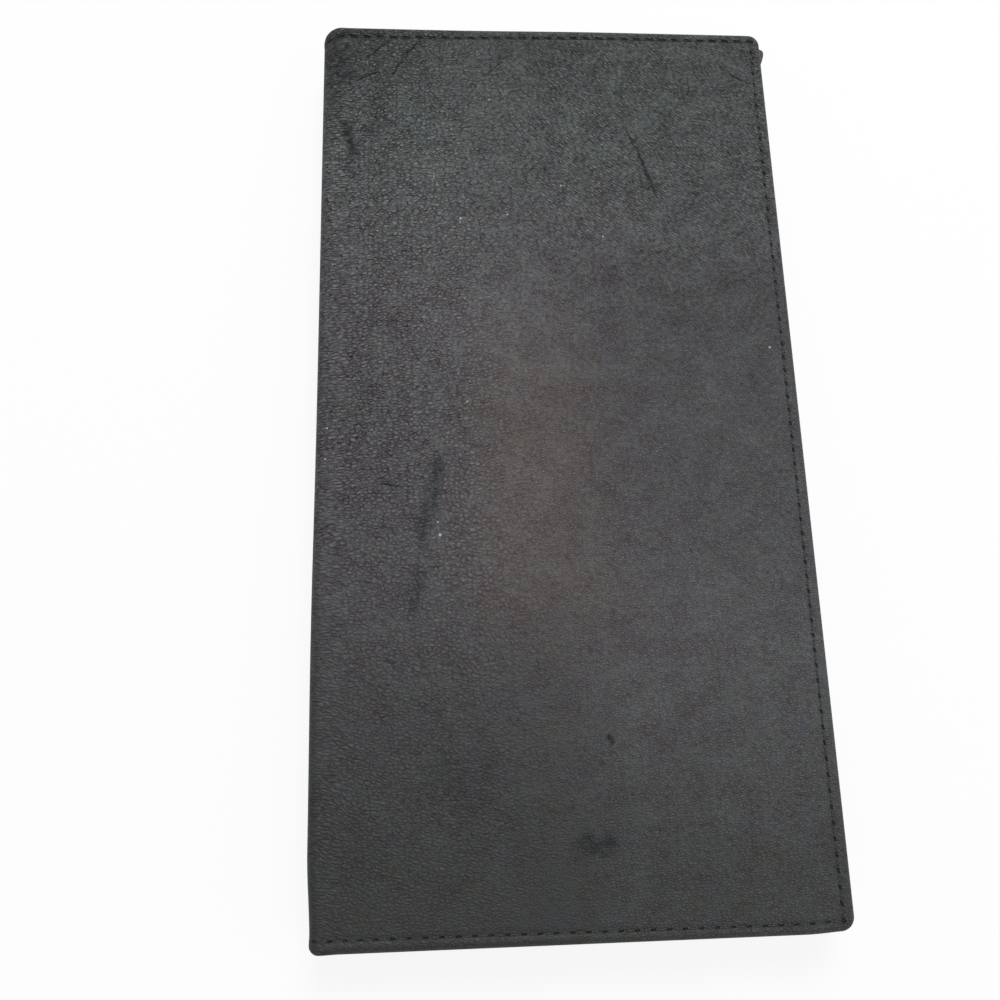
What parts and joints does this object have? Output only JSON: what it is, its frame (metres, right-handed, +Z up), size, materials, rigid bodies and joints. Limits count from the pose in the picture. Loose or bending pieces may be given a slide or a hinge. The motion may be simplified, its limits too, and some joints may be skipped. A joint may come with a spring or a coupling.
{
  "type": "long bifold wallet",
  "caption": "Slim long wallet of thin leather with turned and stitched edges, note pockets in one half and shingled card slots in the other, folding flat about a narrow spine.",
  "frame": {"origin": "under the middle of the closed wallet, on the surface that its back half lies on", "axes": "+X from the fold to the fore edge, +Y along the fold towards the end that the card slots open to, +Z up through the closed wallet"},
  "size_m": [0.0966, 0.185, 0.0127],
  "materials": {
    "outer_leather": "charcoal, fine pebbled grain, satin",
    "inner_leather": "black, smooth, satin",
    "lining_cloth": "black fine twill lining",
    "stiffener": "bonded leather-fibre board, raw"
  },
  "bodies": {
    "back_half": {"back_cover": "outer_leather", "back_board": "stiffener", "back_lining": "lining_cloth", "note_divider": "lining_cloth", "divider_facing": "inner_leather", "note_panel": "inner_leather"},
    "spine": {"spine_cover": "outer_leather", "spine_lining": "lining_cloth"},
    "front_half": {"front_cover": "outer_leather", "front_board": "stiffener", "front_lining": "lining_cloth", "card_carrier": "lining_cloth", "card_header": "inner_leather", "card_slot_1": "inner_leather", "card_slot_2": "inner_leather", "card_slot_3": "inner_leather", "card_slot_4": "inner_leather", "card_slot_5": "inner_leather", "card_slot_6": "inner_leather", "card_slot_7": "inner_leather", "card_slot_8": "inner_leather", "slot_tongue_1": "lining_cloth", "slot_tongue_2": "lining_cloth", "slot_tongue_3": "lining_cloth", "slot_tongue_4": "lining_cloth", "slot_tongue_5": "lining_cloth", "slot_tongue_6": "lining_cloth", "slot_tongue_7": "lining_cloth"}
  },
  "joints": [
    {"name": "back_fold", "type": "hinge", "parent": "back_half", "child": "spine", "pos_m": [-0.04738, 0, 0.00087], "axis": [0, -1, 0], "range_deg": [0, 90]},
    {"name": "front_fold", "type": "hinge", "parent": "spine", "child": "front_half", "pos_m": [-0.04738, 0, 0.01178], "axis": [0, -1, 0], "range_deg": [0, 90]}
  ],
  "couplings": [
    {"joint": "front_fold", "follows": "back_fold", "ratio": 1}
  ]
}
